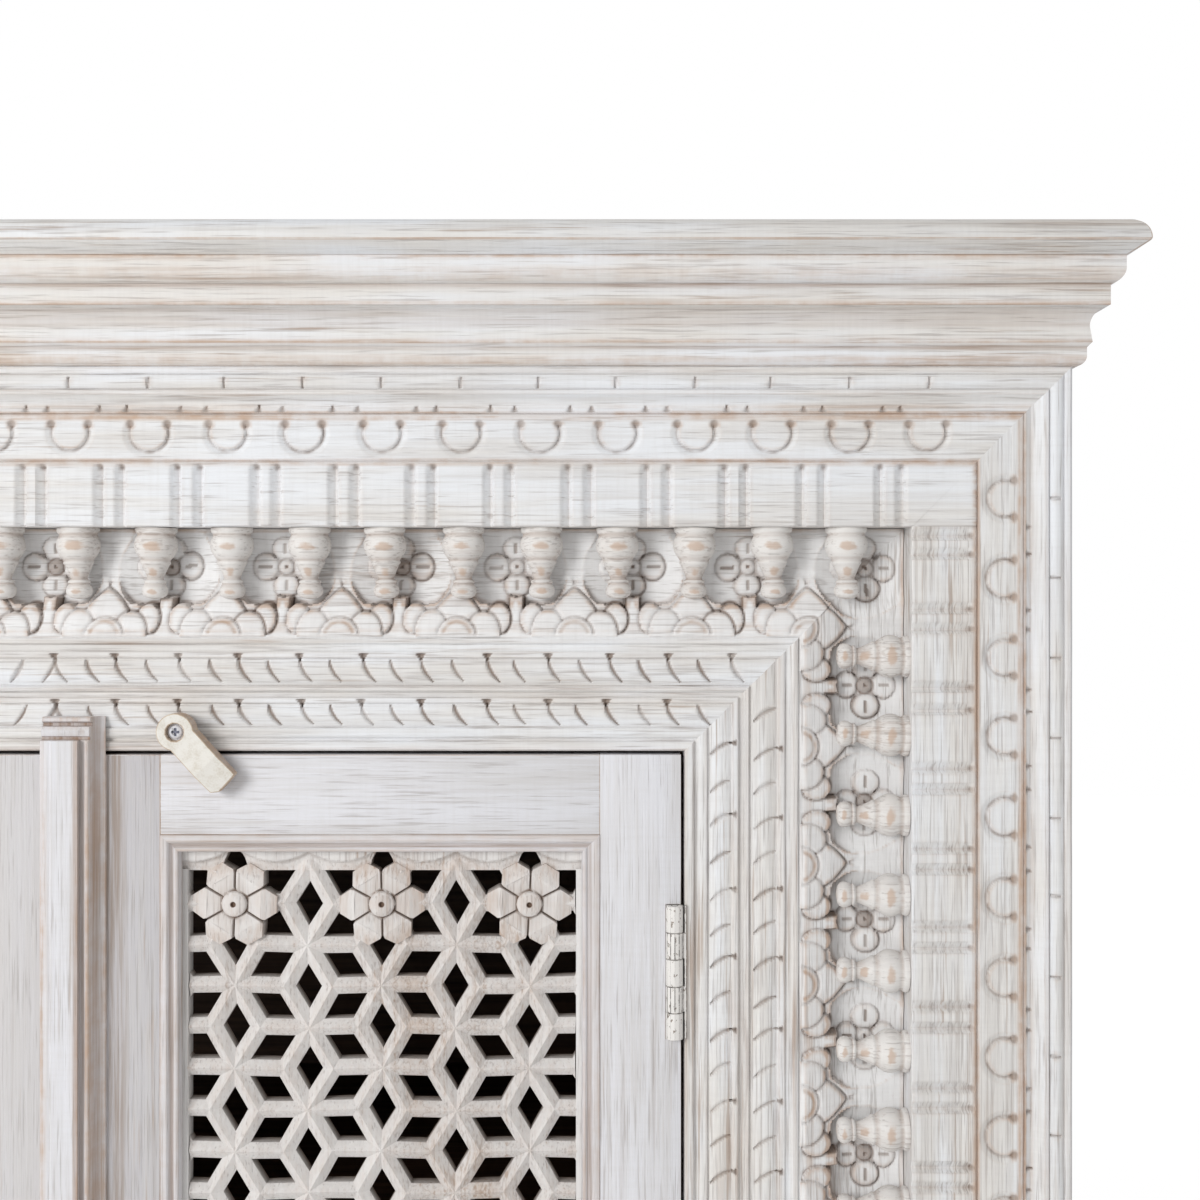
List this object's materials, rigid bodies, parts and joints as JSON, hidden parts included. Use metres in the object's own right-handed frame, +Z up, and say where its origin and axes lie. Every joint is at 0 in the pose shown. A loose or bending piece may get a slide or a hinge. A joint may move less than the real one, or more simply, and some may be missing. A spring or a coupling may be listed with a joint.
{
  "type": "cabinet",
  "caption": "Low carved cabinet with two pierced lattice doors, a deep carved surround hung with turned drops, a moulded cornice, and a wooden turn button over each door.",
  "frame": {"origin": "on the floor, under the middle of the cabinet's overall box", "axes": "+Z up, the doors face -Y, +X to the right as seen from the front"},
  "size_m": [1.298, 0.44, 1.0725],
  "materials": {
    "carved_wood": "whitewashed, chalky matt paint worn back along the carved edges",
    "door_wood": "whitewashed, chalky matt paint, brushed along the grain",
    "plain_boards": "dark oiled softwood, unpainted",
    "hinge_iron": "iron butt hinges painted over with the doors, chipped at the knuckles",
    "screw_steel": "dull zinc"
  },
  "bodies": {
    "cabinet": {"back_panel": "plain_boards", "bottom_board": "plain_boards", "bottom_rail": "carved_wood", "button_screws": "screw_steel", "crown_front": "carved_wood", "door_stops": "plain_boards", "feet": "carved_wood", "frieze_rail": "carved_wood", "header_architrave": "carved_wood", "header_drops": "carved_wood", "header_edge_moulding": "carved_wood", "header_fluted_band": "carved_wood", "header_niche_panel": "carved_wood", "header_scroll_band": "carved_wood", "left_architrave": "carved_wood", "left_cabinet_hinge_leaves": "hinge_iron", "left_crown_return": "carved_wood", "left_drops": "carved_wood", "left_edge_moulding": "carved_wood", "left_fluted_band": "carved_wood", "left_hinge_pins": "hinge_iron", "left_niche_panel": "carved_wood", "left_plinth_return": "carved_wood", "left_scroll_band": "carved_wood", "left_side_frame": "carved_wood", "left_side_panel": "carved_wood", "plinth_front": "carved_wood", "right_architrave": "carved_wood", "right_cabinet_hinge_leaves": "hinge_iron", "right_crown_return": "carved_wood", "right_drops": "carved_wood", "right_edge_moulding": "carved_wood", "right_fluted_band": "carved_wood", "right_hinge_pins": "hinge_iron", "right_niche_panel": "carved_wood", "right_plinth_return": "carved_wood", "right_scroll_band": "carved_wood", "right_side_frame": "carved_wood", "right_side_panel": "carved_wood", "shelf": "plain_boards", "shelf_cleats": "plain_boards", "sill": "carved_wood", "top_slab": "carved_wood"},
    "right_door": {"astragal": "door_wood", "right_door_beads": "door_wood", "right_door_bottom_rail": "door_wood", "right_door_hinge_leaves": "hinge_iron", "right_door_hinge_stile": "door_wood", "right_door_lattice": "door_wood", "right_door_meeting_stile": "door_wood", "right_door_top_rail": "door_wood"},
    "left_door": {"left_door_beads": "door_wood", "left_door_bottom_rail": "door_wood", "left_door_hinge_leaves": "hinge_iron", "left_door_hinge_stile": "door_wood", "left_door_lattice": "door_wood", "left_door_meeting_stile": "door_wood", "left_door_top_rail": "door_wood"},
    "right_turn_button": {"right_turn_button": "carved_wood"},
    "left_turn_button": {"left_turn_button": "carved_wood"}
  },
  "joints": [
    {"name": "right_door_hinge", "type": "hinge", "parent": "cabinet", "child": "right_door", "pos_m": [0.37657, -0.1765, 0.4], "axis": [0, 0, 1], "range_deg": [0, 160]},
    {"name": "left_door_hinge", "type": "hinge", "parent": "cabinet", "child": "left_door", "pos_m": [-0.37657, -0.1765, 0.4], "axis": [0, 0, -1], "range_deg": [0, 160]},
    {"name": "right_button_pivot", "type": "hinge", "parent": "cabinet", "child": "right_turn_button", "pos_m": [0.0808, -0.185, 0.7738], "axis": [0, -1, 0], "continuous": true},
    {"name": "left_button_pivot", "type": "hinge", "parent": "cabinet", "child": "left_turn_button", "pos_m": [-0.0808, -0.185, 0.7738], "axis": [0, -1, 0], "continuous": true}
  ]
}
